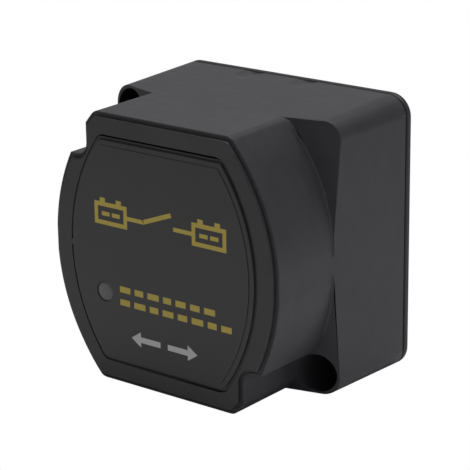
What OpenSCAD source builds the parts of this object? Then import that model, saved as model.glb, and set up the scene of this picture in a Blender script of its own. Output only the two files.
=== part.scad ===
// Battery isolator relay: a moulded case with a screwed back plate and a fitted
// front lid, two stud terminals in a rear recess, and a solenoid contactor with
// its control board inside.
// Millimetres. +Z is up and the label faces -Y. The origin is the middle of the
// bottom. Depths are measured forwards from the back face of the case.

/* [Case] */
// Width of the case at its back
case_w = 68; // [60:0.5:80]
// Height of the case at its back
case_h = 68; // [60:0.5:80]
// Depth from the back face to the front of the label
case_d = 52; // [44:0.5:60]
// Thickness of the case walls
wall = 2.4; // [1.8:0.1:2.6]
// Corner radius of the case at its back
corner_r = 5.4; // [4:0.2:7]
// How far each side of the base leans in towards the front
base_taper = 1; // [0.6:0.1:1.8]
// Depth of the square base, where the curved body starts
base_d = 30.4; // [29:0.2:32]
// How far the body's top and bottom lie inside the base's front edge
end_step = 0.4; // [0.2:0.1:0.8]
// Radius of the curved sides of the body
side_r = 47; // [44:0.5:60]
// Half width that the curved sides would reach before the flat sides trim them
side_bulge = 33.1; // [33:0.1:33.6]
// Radius that rounds the four ends of the curved sides
body_corner_r = 2.6; // [1.6:0.1:3.4]
// Angle at which the corner floors fall back towards the sides
floor_fall_side = 14.5; // [8:0.5:18]
// Angle at which the corner floors fall back towards the top and bottom
floor_fall_end = 6; // [2:0.5:9]

/* [Fixing screws] */
// Distance of each fixing hole from the middle, sideways and upwards alike
fix_offset = 27.7; // [27.3:0.1:27.8]
// Radius of the fixing holes
fix_hole_r = 2.6; // [2.1:0.1:3.1]
// Radius of the counterbore that takes the screw head
fix_bore_r = 4.8; // [4.6:0.1:5]
// Distance of the notch's upright wall from the middle
notch_x = 22.8; // [22:0.1:23.4]
// Distance of the notch's level wall from the middle
notch_z = 21.7; // [21:0.1:22.4]
// Radius that joins the notch's two walls
notch_r = 3; // [2:0.1:4]
// Depth of the floor under the screw head, with the back plate
fix_floor_d = 5; // [4:0.2:8]

/* [Front lid and label] */
// Width of the thin rim round the lid
rim_w = 0.55; // [0.4:0.05:0.7]
// Width of the shadow gap round the lid
lid_gap = 0.6; // [0.4:0.05:0.7]
// Height of the lid above the rim
lid_proud = 0.9; // [0.4:0.05:1]
// Thickness of the lid's outer flange
lid_t = 1.9; // [1.7:0.1:2.4]
// Thickness of the seal under the lid
seal_t = 0.5; // [0.3:0.1:0.8]
// Thickness of the lid's floor under the label plate
lid_floor_t = 2; // [1.6:0.1:2.4]
// Half width of the label plate
plate_half_w = 26.9; // [24:0.2:28]
// Half height of the label plate
plate_half_h = 26.7; // [24:0.2:28]
// Radius of the label plate's curved sides
plate_side_r = 44; // [40:0.5:55]
// Radius that rounds the label plate's four corners
plate_corner_r = 1.6; // [0.8:0.1:2.4]
// Thickness of the label plate
plate_t = 1.6; // [1.2:0.1:2]
// Height of the label plate above the lid
plate_proud = 0.4; // [0.1:0.1:0.8]
// Width of the groove round the label plate
groove_w = 0.7; // [0.4:0.1:1]
// Thickness of the label film
film_t = 0.15; // [0.1:0.05:0.3]
// Distance from the label film's edge to the plate's edge
film_inset = 1.3; // [0.8:0.1:2]
// Width of the key that bridges the groove
key_w = 1.5; // [1:0.1:2.5]
// Radius of the indicator lens
lens_r = 2.4; // [1.5:0.1:3]
// Sideways place of the indicator lens
lens_x = -17.1; // [-19:0.1:-15]
// Height of the indicator lens above the middle
lens_z = -10.3; // [-13:0.1:-8]

/* [Back plate] */
// Thickness of the back plate
back_t = 1.6; // [1.2:0.1:2]
// Height of the shadow gap between the back plate and the case
back_gap = 0.6; // [0.4:0.1:0.9]
// Depth of the shadow gap, inwards from the sides
back_gap_in = 0.9; // [0.6:0.1:1.2]
// Half width of the opening in the back plate
window_half_w = 24; // [23:0.5:25]
// Top of the opening above the middle
window_top = 20; // [18:0.5:21]
// Bottom of the opening below the middle
window_bottom = 14; // [13:0.5:16]
// Corner radius of the opening
window_r = 3; // [1:0.5:5]
// Distance of each back plate screw from the middle, sideways and upwards alike
back_screw_offset = 26.4; // [25.8:0.1:26.6]

/* [Cable outlets] */
// Radius of the groove that thins the wall
outlet_r = 4.5; // [3.5:0.1:5.5]
// Depth of the groove at the back of the case
outlet_deep = 1.5; // [1.2:0.1:1.7]
// Length of the groove from the back face
outlet_len = 10.4; // [8:0.2:13]
// Distance between the two grooves
outlet_pitch = 16; // [13:0.2:18]
// Sideways place of the middle between the grooves
outlet_mid_x = -2.1; // [-3:0.1:3]

/* [Terminals] */
// Distance between the two studs
stud_pitch = 30; // [28:0.5:31]
// Radius of the stud's thread
stud_r = 4; // [3:0.5:4]
// Distance of the stud's tip from the back face
stud_tip_d = 4; // [3:0.2:5]
// Radius of the stud's head
head_r = 7.5; // [7:0.1:7.6]
// Thickness of the stud's head
head_t = 2; // [1.5:0.1:2.2]
// Distance across the flats of the terminal nuts
nut_flats = 13; // [12:0.5:14]
// Height of the terminal nuts
nut_h = 5; // [4:0.5:6]
// Outer radius of the flat washers
washer_r = 8; // [7:0.2:8.5]
// Thickness of the flat washers
washer_t = 1.4; // [1:0.1:1.6]
// Thickness of the spring washers
spring_washer_t = 1.8; // [1.4:0.1:2.2]
// Radius of the hole for the earth lead
lead_r = 1.4; // [1:0.1:2]

/* [Contacts] */
// Thickness of the partition that carries the studs
partition_t = 2; // [1.6:0.1:2.4]
// Depth of the partition's rear face
partition_d = 18; // [17.4:0.2:18.4]
// Thickness of the sensing strips
strip_t = 0.6; // [0.4:0.1:0.7]
// Width of the sensing strips
strip_w = 4; // [3:0.2:5]
// Radius of the contact pads
pad_r = 3.5; // [2.5:0.1:4]
// Thickness of the contact pads
pad_t = 0.6; // [0.4:0.1:0.7]
// Gap between open contacts
contact_gap = 1.8; // [1.6:0.1:2]
// Further travel that loads the contact spring
over_travel = 0.5; // [0.3:0.1:0.6]
// Length of the contact bridge
bridge_l = 38; // [36:0.5:40]
// Height of the contact bridge
bridge_h = 11; // [9:0.5:12]
// Thickness of the contact bridge
bridge_t = 1.6; // [1.2:0.1:1.8]
// Length of the contact spring at rest
contact_spring_l = 2; // [1.8:0.1:2.2]

/* [Solenoid] */
// Radius of the push rod
rod_r = 1.5; // [1.2:0.1:1.8]
// Radius of the plunger
plunger_r = 6; // [5:0.1:6.4]
// Depth of the spring pocket in the plunger
pocket_deep = 3.2; // [2.8:0.1:3.6]
// Radius of the bobbin's flanges
flange_r = 14; // [13:0.2:14.4]
// Thickness of the bobbin's flanges
flange_t = 1; // [0.8:0.1:1.2]
// Length of the bobbin
bobbin_l = 9.8; // [9:0.2:10]
// Wall of the bobbin's tube
bobbin_wall = 0.9; // [0.7:0.1:1.2]
// Thickness of the rear pole plate
pole_plate_t = 2; // [1.6:0.1:2.1]
// Thickness of the yoke
yoke_t = 1.6; // [1.2:0.1:1.6]
// Width of the yoke
yoke_w = 18; // [16:0.5:19]
// Length of the fixed core in front of the pole plate
core_l = 2.4; // [2:0.1:2.6]
// Thickness of the insulating sheet
sheet_t = 0.4; // [0.3:0.1:0.5]

/* [Control board] */
// Thickness of the circuit board
board_t = 1.4; // [1:0.1:1.6]
// Room in front of the board for its small parts
board_room = 1.6; // [1.5:0.1:1.9]
// Radius of the posts that carry the board
post_r = 3; // [2.4:0.1:3.2]
// Radius of the capacitor
cap_r = 4; // [3:0.1:4.2]
// Length of the capacitor
cap_l = 9; // [7:0.2:11]

/* [Hidden] */

$fn = 64;
// Gap between still parts that would otherwise share a curved face
seat_gap = 0.03;
// Running clearance, on the radius, of what slides
slide_gap = 0.07;
// Gap that lets one piece drop into another
drop_gap = 0.15;
// Overrun of cuts past the faces that they cut
over = 1;

// Every depth here is drawn for a case of this depth, and follows the real one in proportion
drawn_d = 52;
deep = case_d / drawn_d;

// Depths of the case, forwards from the back face
lid_front_d = drawn_d - film_t - plate_proud;
rim_d = lid_front_d - lid_proud;
lid_back_d = lid_front_d - lid_t;
ledge_d = lid_back_d - seal_t;
plate_front_d = drawn_d - film_t;
plate_back_d = plate_front_d - plate_t;
lid_floor_d = plate_back_d - lid_floor_t;
chamber_d = partition_d + partition_t;
base_back_d = back_t + back_gap;
shell_step = 1.6;
shell_d = base_d + shell_step;

// Half sizes of the body and of its hollows
body_half_w = case_w / 2 - base_taper;
body_half_h = case_h / 2 - base_taper - end_step;
hollow_half_w = body_half_w - wall;
hollow_half_h = body_half_h - wall;
side_flat = sqrt(side_r * side_r - body_half_h * body_half_h) - side_r + side_bulge;
least_corner_r = 0.3;
lid_inset = rim_w + lid_gap;
tube_wall = 1.6;

// Back plate screws
back_screw_r = 1.2;
back_screw_head_r = 2.7;
back_screw_head_h = 1.3;
back_screw_tip_d = 10;
back_boss_r = 3.4;
mould_r = 1.5;

// Earth lead grommet
grommet_wall = 0.8;
grommet_lip = 0.9;
grommet_lip_t = 0.8;
lead_from_side = 11.4;
lead_from_end = 20;
lead_x = case_w / 2 - lead_from_side;
lead_z = lead_from_end - case_h / 2;

// Terminal hardware
washer_back_d = partition_d - washer_t;
spring_washer_back_d = washer_back_d - spring_washer_t;
nut_back_d = spring_washer_back_d - nut_h;
spring_washer_r = stud_r + 2.6;
spring_washer_cut = 1;

// Depths of the contacts and the solenoid
stud_gap = 0.1;
head_back_d = chamber_d + strip_t;
pad_back_d = head_back_d + head_t;
gap_back_d = pad_back_d + pad_t;
moving_pad_d = gap_back_d + contact_gap;
bridge_back_d = moving_pad_d + pad_t;
bridge_front_d = bridge_back_d + bridge_t;
bush_flange_t = 0.5;
bush_flange_r = 4.2;
bush_wall = 1.4;
spring_back_d = bridge_front_d + bush_flange_t;
seat_back_d = spring_back_d + contact_spring_l;
seat_t = 0.6;
seat_r = 4;
stop_gap = 0.1;
sheet_back_d = seat_back_d + seat_t + stop_gap;
pole_back_d = sheet_back_d + sheet_t;
pole_front_d = pole_back_d + pole_plate_t;
bobbin_front_d = pole_front_d + bobbin_l;
yoke_front_d = bobbin_front_d + yoke_t;
core_front_d = pole_front_d + core_l;
travel = contact_gap + over_travel;
air_gap = 0.1;
plunger_back_d = core_front_d + travel + air_gap;
plunger_nose = 0.5;
plunger_front_d = yoke_front_d + plunger_nose;
pocket_front_d = plunger_back_d + pocket_deep;
pocket_r = 3.4;
rod_in_plunger = 2.8;
clip_t = 0.5;
clip_gap = 0.05;
clip_r = 3.2;
clip_back_d = bridge_back_d - clip_gap - clip_t;
rod_end = 0.7;

// Solenoid frame
core_stem_r = 4;
bobbin_in_r = plunger_r + slide_gap;
bobbin_tube_r = bobbin_in_r + bobbin_wall;
winding_r = flange_r - 0.8;
yoke_arm_z = flange_r + 0.5;
yoke_out_z = yoke_arm_z + yoke_t;
ear_half_w = 5;
ear_z = yoke_out_z + 7;
yoke_screw_r = 1.2;
yoke_screw_head_r = 2.5;
yoke_screw_head_h = 1.4;
yoke_screw_len = 7;
yoke_screw_z = yoke_out_z + yoke_screw_head_r + 0.6;
pillar_z = 16;
sheet_half_w = 15;
pin_side = 0.6;
pin_x = yoke_w / 2 + 2.2;
pin_z = -5;
pin_past = 0.8;

// Sensing strips
strip_x = bridge_l / 2 + 4.6;
strip_ring_r = 6.6;
tab_w = 2;
tab_past = 0.5;

// Board
board_front_d = lid_floor_d - board_room;
board_back_d = board_front_d - board_t;
board_room_side = 1;
board_screw_r = 1;
board_screw_head_r = 1.9;
board_screw_head_h = 1.2;
board_screw_len = 6;
post_places = [[20.4, 20.4], [-20.4, -20.4], [-15.6, 22.6], [15.6, -22.6]];
resistor_places = [[-2, -20], [3, -20], [8, -14], [12, 4], [12, 0], [-8, 16]];
resistor_l = 2;
resistor_w = 1.25;
resistor_t = 0.5;
chip_l = 5;
chip_w = 4;
chip_t = 1.3;
chip_x = -2;
chip_z = 8;
leg_l = 1;
leg_w = 0.4;
leg_t = 0.3;
leg_pitch = 1.27;
legs = 4;
led_l = 3.2;
led_w = 2.8;
led_t = 0.8;
led_eye_r = 1;
led_eye_t = 0.1;
lens_flange_r = 3.2;
lens_flange_t = 0.5;
cap_x = -21.2;
cap_z = 11;
cap_sleeve_t = 0.15;
cap_vent = 0.2;
transistor_x = 20.6;
transistor_z = 10;
transistor_w = 6.6;
transistor_h = 6;
transistor_t = 2.3;
transistor_tab = 1.6;
transistor_tab_t = 0.6;
diode_r = 1.3;
diode_l = 4.6;
diode_x = 20.6;
diode_z = -8;
diode_lead_r = 0.35;
diode_lead = 1.4;
diode_lift = 0.3;

// Springs: wire radius, coil radius and turns
return_wire_r = 0.3;
return_coil_r = 2.5;
return_turns = 4;
contact_wire_r = 0.2;
contact_coil_r = 2.6;
contact_turns = 1.5;
wire_sides = 6;
turn_rings = 12;

case_colour = [0.17, 0.17, 0.18];
lid_colour = [0.15, 0.15, 0.16];
steel_colour = [0.66, 0.67, 0.69];
brass_colour = [0.80, 0.66, 0.36];
copper_colour = [0.78, 0.45, 0.28];
silver_colour = [0.86, 0.86, 0.84];
nylon_colour = [0.90, 0.88, 0.82];
dark_colour = [0.10, 0.10, 0.11];

// The place along y of a drawn depth.
function y_at(d) = (drawn_d / 2 - d) * deep;

// Extrudes an outline, drawn about the middle of the face, between two depths.
module slab(from_d, to_d)
  translate([0, y_at(from_d), case_h / 2])
    rotate([90, 0, 0]) linear_extrude((to_d - from_d) * deep) children();

// A round bar along the depth, at x and z from the middle of the face.
module bar(x, z, from_d, to_d, r)
  translate([x, y_at(from_d), case_h / 2 + z])
    rotate([90, 0, 0]) cylinder(h = (to_d - from_d) * deep, r = r);

// A round bar whose radius changes along the depth.
module cone_bar(x, z, from_d, to_d, from_r, to_r)
  translate([x, y_at(from_d), case_h / 2 + z])
    rotate([90, 0, 0]) cylinder(h = (to_d - from_d) * deep, r1 = from_r, r2 = to_r);

// Runs its children at the two corners that carry the fixing screws.
module at_fixings()
  for (side = [-1, 1]) translate([side * fix_offset, -side * fix_offset]) children();

// A rectangle with round corners, centred.
module rounded(half_w, half_h, r) {
  square([2 * half_w, 2 * (half_h - r)], center = true);
  square([2 * (half_w - r), 2 * half_h], center = true);
  for (x = [-1, 1], z = [-1, 1])
    translate([x * (half_w - r), z * (half_h - r)]) circle(r = r);
}

// The notch's cross-section, grown by a margin: open towards the corner, with a round
// where its two walls meet. The one at the upper left is drawn, and the other is its half turn.
module notch(margin) {
  reach = case_w + case_h;
  r = notch_r + margin;
  for (turn = [0, 180]) rotate(turn) translate([-notch_x - notch_r, notch_z + notch_r]) {
    circle(r = r);
    translate([-reach, 0]) square([reach + r, reach]);
    translate([-reach, -r]) square([reach, reach]);
  }
}

// An outline with flat ends above and below and curved sides, whose middles
// lie shift to either side, and a round at each end of the curves.
module arched(half_w, half_h, r_side, shift, r_corner) {
  corner_x = sqrt(pow(r_side - r_corner, 2) - pow(half_h - r_corner, 2)) - shift;
  curve_h = (half_h - r_corner) * r_side / (r_side - r_corner);
  intersection() {
    translate([-shift, 0]) circle(r = r_side, $fn = 180);
    translate([shift, 0]) circle(r = r_side, $fn = 180);
    square([2 * half_w, 2 * curve_h], center = true);
  }
  square([2 * corner_x, 2 * half_h], center = true);
  for (x = [-1, 1], z = [-1, 1])
    translate([x * corner_x, z * (half_h - r_corner)]) circle(r = r_corner);
}

// What rounds the end of the notch's upright wall, at the upper left and lower right.
module notch_corner(edge_x, edge_z, r)
  for (turn = [0, 180]) rotate(turn) translate([-edge_x, edge_z]) difference() {
    translate([-over, -r]) square(r + over);
    translate([r, -r]) circle(r = r);
  }

// The body's outline, drawn in by an even inset.
module body_outline(inset) {
  r = max(body_corner_r - inset, least_corner_r);
  difference() {
    arched(body_half_w - inset, body_half_h - inset, side_r - inset, side_r - side_bulge, r);
    notch(inset);
    notch_corner(notch_x - inset, body_half_h - inset, r);
  }
}

// The label plate's outline, grown by a margin or drawn in where it is negative.
module plate_outline(margin)
  arched(case_w, plate_half_h + margin, plate_side_r + margin, plate_side_r - plate_half_w,
         max(plate_corner_r + margin, least_corner_r));

// The base: four leaning sides with round corners between two depths.
module base_block(from_d, to_d, inset) {
  lean = base_taper / base_d;
  w0 = case_w / 2 - inset - lean * from_d;
  w1 = case_w / 2 - inset - lean * to_d;
  h0 = case_h / 2 - inset - lean * from_d;
  h1 = case_h / 2 - inset - lean * to_d;
  straight_w = case_w / 2 - corner_r;
  straight_h = case_h / 2 - corner_r;
  y0 = y_at(from_d);
  y1 = y_at(to_d);
  translate([0, 0, case_h / 2 - straight_h]) linear_extrude(2 * straight_h)
    polygon([[-w0, y0], [w0, y0], [w1, y1], [-w1, y1]]);
  translate([-straight_w, 0, case_h / 2]) rotate([90, 0, 90]) linear_extrude(2 * straight_w)
    polygon([[y0, -h0], [y0, h0], [y1, h1], [y1, -h1]]);
  for (x = [-1, 1], z = [-1, 1])
    cone_bar(x * straight_w, z * straight_h, from_d, to_d,
             corner_r - inset - lean * from_d, corner_r - inset - lean * to_d);
}

// Everything in front of the four sloping corner floors.
module corner_floors() {
  reach = case_w + case_h;
  for (x = [-1, 1], z = [-1, 1])
    translate([x * side_flat, y_at(base_d), case_h / 2 + z * body_half_h])
      rotate([-z * floor_fall_end, 0, x * floor_fall_side])
        translate([-reach / 2, -reach, -reach / 2]) cube(reach);
}

// Grooves that thin the top wall where the cables leave.
module outlet_grooves() {
  sink = case_h / 2 + outlet_r - outlet_deep;
  for (side = [-1, 1]) {
    x = outlet_mid_x + side * outlet_pitch / 2;
    bar(x, sink, -over, outlet_len - outlet_r, outlet_r);
    translate([x, y_at(outlet_len - outlet_r), case_h / 2 + sink]) sphere(r = outlet_r);
  }
}

// Posts for the board, out of the partition.
module board_posts()
  for (p = post_places)
    bar(p[0], p[1], partition_d + partition_t / 2, board_back_d, post_r);

// Pillars for the solenoid, along the depth.
module pillars()
  for (side = [-1, 1])
    slab(partition_d, sheet_back_d)
      translate([-ear_half_w, side > 0 ? pillar_z : -body_half_h + mould_r])
        square([2 * ear_half_w, body_half_h - mould_r - pillar_z]);

// Hollow in front of the partition, and behind it for the terminals.
module hollows() {
  difference() {
    slab(chamber_d, shell_d + over) body_outline(wall);
    pillars();
  }
  difference() {
    slab(-over, partition_d) rounded(hollow_half_w, hollow_half_h, corner_r - wall);
    for (side = [-1, 1]) {
      bar(side * fix_offset, -side * fix_offset, -over, partition_d + over, fix_bore_r + tube_wall);
      bar(side * back_screw_offset, side * back_screw_offset, -over, partition_d + over, back_boss_r);
    }
  }
}

// The square base with the terminal recess, the partition and all that stands on it.
module housing() {
  color(case_colour) difference() {
    union() {
      difference() {
        union() {
          difference() {
            union() {
              base_block(base_back_d, base_d + over, 0);
              base_block(back_t, base_d, back_gap_in);
            }
            corner_floors();
          }
          slab(chamber_d, shell_d) body_outline(0);
        }
        hollows();
        outlet_grooves();
      }
      board_posts();
    }
    for (side = [-1, 1]) {
      bar(side * fix_offset, -side * fix_offset, fix_floor_d, base_d + over, fix_bore_r);
      bar(side * fix_offset, -side * fix_offset, -over, fix_floor_d + over, fix_hole_r);
      bar(side * stud_pitch / 2, 0, partition_d - over, chamber_d + over, stud_r + stud_gap);
      bar(side * back_screw_offset, side * back_screw_offset, -over,
          back_screw_tip_d + over, back_screw_r + seat_gap);
      bar(0, side * yoke_screw_z, pole_front_d - yoke_screw_len - over, sheet_back_d + over,
          yoke_screw_r + seat_gap);
    }
    bar(lead_x, lead_z, partition_d - over, chamber_d + over,
        lead_r + grommet_wall + seat_gap);
    for (p = post_places)
      bar(p[0], p[1], board_front_d - board_screw_len - over, board_back_d + over,
          board_screw_r + seat_gap);
  }
}

// The curved wall in front of the base, with the rim that the lid drops into.
module body_shell() {
  color(case_colour) difference() {
    slab(shell_d, rim_d) body_outline(0);
    slab(shell_d - over, rim_d + over) body_outline(wall);
    slab(ledge_d, rim_d + over) body_outline(rim_w);
  }
}

module front_lid() {
  color(lid_colour) difference() {
    union() {
      slab(lid_back_d, lid_front_d) body_outline(lid_inset);
      slab(lid_floor_d, lid_front_d) body_outline(wall + drop_gap);
    }
    slab(plate_back_d, lid_front_d + over) plate_outline(groove_w);
    bar(lens_x, lens_z, lid_floor_d - over, lid_front_d, lens_r + seat_gap);
  }
}

module lid_seal() {
  color(dark_colour) slab(ledge_d, lid_back_d) difference() {
    body_outline(lid_inset);
    body_outline(wall);
  }
}

module label_plate() {
  key_l = groove_w - seat_gap;
  color(lid_colour) difference() {
    union() {
      slab(plate_back_d, plate_front_d) plate_outline(0);
      slab(plate_back_d, lid_front_d) translate([-plate_half_w - key_l, -key_w / 2])
        square([key_l + over, key_w]);
    }
    bar(lens_x, lens_z, plate_back_d - over, drawn_d, lens_r + seat_gap);
  }
}

module label_film() {
  color(dark_colour) difference() {
    slab(plate_front_d, drawn_d) plate_outline(-film_inset);
    bar(lens_x, lens_z, plate_front_d - over, drawn_d + over, lens_r + seat_gap);
  }
}

module indicator_lens() {
  color([0.55, 0.56, 0.58]) union() {
    bar(lens_x, lens_z, lid_floor_d - lens_flange_t, drawn_d, lens_r);
    bar(lens_x, lens_z, lid_floor_d - lens_flange_t, lid_floor_d, lens_flange_r);
  }
}

module back_plate() {
  window_h = window_top + window_bottom;
  color(case_colour) difference() {
    base_block(0, back_t, 0);
    slab(-over, back_t + over) {
      translate([0, (window_top - window_bottom) / 2]) rounded(window_half_w, window_h / 2, window_r);
      at_fixings() circle(r = fix_hole_r);
    }
    for (side = [-1, 1]) {
      bar(side * back_screw_offset, side * back_screw_offset, -over, back_t + over,
          back_screw_r + seat_gap);
      cone_bar(side * back_screw_offset, side * back_screw_offset, 0, back_screw_head_h,
               back_screw_head_r + seat_gap, back_screw_r + seat_gap);
    }
  }
}

module back_plate_screws() {
  color(steel_colour) for (side = [-1, 1]) {
    x = side * back_screw_offset;
    cone_bar(x, x, 0, back_screw_head_h, back_screw_head_r, back_screw_r);
    bar(x, x, 0, back_screw_tip_d, back_screw_r);
  }
}

// One stud: its thread points backwards, and its head is in the chamber.
module stud(side) {
  x = side * stud_pitch / 2;
  color(brass_colour) union() {
    bar(x, 0, stud_tip_d, pad_back_d, stud_r);
    bar(x, 0, head_back_d, pad_back_d, head_r);
  }
}

module terminal_stud_main() stud(-1);
module terminal_stud_aux() stud(1);

// A ring on each stud between two depths.
module stud_rings(from_d, to_d, r)
  for (side = [-1, 1]) difference() {
    bar(side * stud_pitch / 2, 0, from_d, to_d, r);
    bar(side * stud_pitch / 2, 0, from_d - over, to_d + over, stud_r + stud_gap);
  }

module flat_washers() color(steel_colour) stud_rings(washer_back_d, partition_d, washer_r);

module spring_washers() {
  color(steel_colour) difference() {
    stud_rings(spring_washer_back_d, washer_back_d, spring_washer_r);
    for (side = [-1, 1])
      slab(spring_washer_back_d - over, washer_back_d + over)
        translate([side * stud_pitch / 2, -spring_washer_cut / 2])
          square([spring_washer_r + over, spring_washer_cut]);
  }
}

module terminal_nuts() {
  corner = nut_flats / 2 / cos(30);
  bevel = corner - nut_flats / 2;
  color(steel_colour) for (side = [-1, 1]) {
    x = side * stud_pitch / 2;
    difference() {
      intersection() {
        translate([x, y_at(nut_back_d), case_h / 2])
          rotate([90, 0, 0]) cylinder(h = nut_h * deep, r = corner, $fn = 6);
        cone_bar(x, 0, nut_back_d, nut_back_d + nut_h, corner - bevel, corner - bevel + nut_h);
      }
      bar(x, 0, nut_back_d - over, nut_back_d + nut_h + over, stud_r + seat_gap);
    }
  }
}

module earth_lead_grommet() {
  color(dark_colour) difference() {
    union() {
      bar(lead_x, lead_z, partition_d - grommet_lip_t, chamber_d + grommet_lip_t,
          lead_r + grommet_wall);
      bar(lead_x, lead_z, partition_d - grommet_lip_t, partition_d,
          lead_r + grommet_wall + grommet_lip);
      bar(lead_x, lead_z, chamber_d, chamber_d + grommet_lip_t,
          lead_r + grommet_wall + grommet_lip);
    }
    bar(lead_x, lead_z, partition_d - grommet_lip_t - over, chamber_d + grommet_lip_t + over, lead_r);
  }
}

// A strip from under the stud's head, along the side wall and through the board.
module sense_strip(side) {
  color(copper_colour) difference() {
    union() {
      slab(chamber_d, head_back_d) {
        translate([side * stud_pitch / 2, 0]) circle(r = strip_ring_r);
        translate([side * (stud_pitch / 2 + strip_x) / 2, 0])
          square([strip_x - stud_pitch / 2, strip_w], center = true);
      }
      slab(chamber_d, board_back_d) translate([side * (strip_x - strip_t / 2), 0])
        square([strip_t, strip_w], center = true);
      slab(chamber_d, board_front_d + tab_past) translate([side * (strip_x - strip_t / 2), 0])
        square([strip_t, tab_w], center = true);
    }
    bar(side * stud_pitch / 2, 0, chamber_d - over, head_back_d + over, stud_r + stud_gap);
  }
}

module sense_strip_main() sense_strip(-1);
module sense_strip_aux() sense_strip(1);

module fixed_contacts()
  color(silver_colour) for (side = [-1, 1])
    bar(side * stud_pitch / 2, 0, pad_back_d, gap_back_d, pad_r);

module moving_contacts()
  color(silver_colour) for (side = [-1, 1])
    bar(side * stud_pitch / 2, 0, moving_pad_d, bridge_back_d, pad_r);

module contact_bridge() {
  color(copper_colour) difference() {
    slab(bridge_back_d, bridge_front_d) rounded(bridge_l / 2, bridge_h / 2, mould_r);
    bar(0, 0, bridge_back_d - over, bridge_front_d + over, rod_r + bush_wall + seat_gap);
  }
}

module bridge_bush() {
  color(nylon_colour) difference() {
    union() {
      bar(0, 0, bridge_back_d, spring_back_d, rod_r + bush_wall);
      bar(0, 0, bridge_front_d, spring_back_d, bush_flange_r);
    }
    bar(0, 0, bridge_back_d - over, spring_back_d + over, rod_r + slide_gap);
  }
}

// A ring on the push rod, with a mouth where it is a clip.
module rod_ring(from_d, to_d, r, mouth)
  difference() {
    bar(0, 0, from_d, to_d, r);
    bar(0, 0, from_d - over, to_d + over, rod_r + seat_gap);
    slab(from_d - over, to_d + over) translate([-mouth / 2, 0]) square([mouth, r + over]);
  }

module bridge_clip() color(steel_colour) rod_ring(clip_back_d, clip_back_d + clip_t, clip_r, rod_r);
module spring_seat() color(steel_colour) difference() {
  bar(0, 0, seat_back_d, seat_back_d + seat_t, seat_r);
  bar(0, 0, seat_back_d - over, seat_back_d + seat_t + over, rod_r + seat_gap);
}

// Points of ring number i of a coil spring along the depth.
function coil_ring(i, rings, from_d, length, coil_r, wire_r, turns) =
  let (share = i / rings, angle = 360 * turns * share,
       y = y_at(from_d + length * share) - wire_r * (1 - 2 * share))
  [for (k = [0 : wire_sides - 1])
    let (a = 360 * k / wire_sides, out = coil_r + wire_r * cos(a))
    [out * cos(angle), y - wire_r * sin(a), case_h / 2 + out * sin(angle)]];

// A coil spring as one unbroken tube.
module coil_spring(from_d, length, coil_r, wire_r, turns) {
  rings = turns * turn_rings;
  points = [for (i = [0 : rings]) each coil_ring(i, rings, from_d, length, coil_r, wire_r, turns)];
  sides = [for (i = [0 : rings - 1], k = [0 : wire_sides - 1])
    let (a = i * wire_sides + k, b = i * wire_sides + (k + 1) % wire_sides)
    each [[a, b, b + wire_sides], [a, b + wire_sides, a + wire_sides]]];
  ends = [for (k = [1 : wire_sides - 2])
    each [[0, k + 1, k], [rings * wire_sides, rings * wire_sides + k, rings * wire_sides + k + 1]]];
  pitch = (length - 2 * wire_r) / turns;
  echo("spring gap between turns", pitch - 2 * wire_r);
  polyhedron(points = points, faces = concat(sides, ends));
}

module contact_spring()
  color(steel_colour)
    coil_spring(spring_back_d, contact_spring_l, contact_coil_r, contact_wire_r, contact_turns);

module return_spring()
  color(steel_colour)
    coil_spring(core_front_d, pocket_front_d - core_front_d, return_coil_r, return_wire_r,
                return_turns);

module push_rod()
  color(steel_colour) bar(0, 0, clip_back_d - rod_end, pocket_front_d + rod_in_plunger, rod_r);

module plunger() {
  color(steel_colour) difference() {
    bar(0, 0, plunger_back_d, plunger_front_d, plunger_r);
    bar(0, 0, plunger_back_d - over, pocket_front_d, pocket_r);
    bar(0, 0, plunger_back_d - over, pocket_front_d + rod_in_plunger, rod_r + seat_gap);
  }
}

module fixed_core() {
  color(steel_colour) difference() {
    union() {
      bar(0, 0, pole_back_d, core_front_d, core_stem_r);
      bar(0, 0, pole_front_d, core_front_d, plunger_r);
    }
    bar(0, 0, pole_back_d - over, core_front_d + over, rod_r + slide_gap);
  }
}

// The pole plate's outline: a plate with an ear above and below.
module pole_outline() {
  square([2 * flange_r, 2 * yoke_out_z], center = true);
  square([2 * ear_half_w, 2 * ear_z], center = true);
}

module pole_plate() {
  color(steel_colour) difference() {
    slab(pole_back_d, pole_front_d) pole_outline();
    bar(0, 0, pole_back_d - over, pole_front_d + over, core_stem_r + seat_gap);
    for (side = [-1, 1])
      bar(0, side * yoke_screw_z, pole_back_d - over, pole_front_d + over,
          yoke_screw_r + seat_gap);
  }
}

module yoke() {
  color(steel_colour) difference() {
    union() {
      slab(bobbin_front_d, yoke_front_d) square([yoke_w, 2 * yoke_out_z], center = true);
      for (side = [-1, 1])
        slab(pole_front_d, yoke_front_d) translate([0, side * (yoke_arm_z + yoke_t / 2)])
          square([yoke_w, yoke_t], center = true);
    }
    bar(0, 0, bobbin_front_d - over, yoke_front_d + over, plunger_r + slide_gap);
  }
}

module coil_bobbin() {
  color(nylon_colour) difference() {
    union() {
      bar(0, 0, pole_front_d, bobbin_front_d, bobbin_tube_r);
      bar(0, 0, pole_front_d, pole_front_d + flange_t, flange_r);
      bar(0, 0, bobbin_front_d - flange_t, bobbin_front_d, flange_r);
    }
    bar(0, 0, pole_front_d - over, bobbin_front_d + over, bobbin_in_r);
  }
}

module coil_winding() {
  color(copper_colour) difference() {
    bar(0, 0, pole_front_d + flange_t, bobbin_front_d - flange_t, winding_r);
    bar(0, 0, pole_front_d + flange_t - over, bobbin_front_d - flange_t + over,
        bobbin_tube_r + seat_gap);
  }
}

module coil_pins()
  color(silver_colour) slab(bobbin_front_d, board_front_d + pin_past)
    for (side = [-1, 1]) translate([side * pin_x, pin_z])
      square([pin_side, pin_side], center = true);

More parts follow.
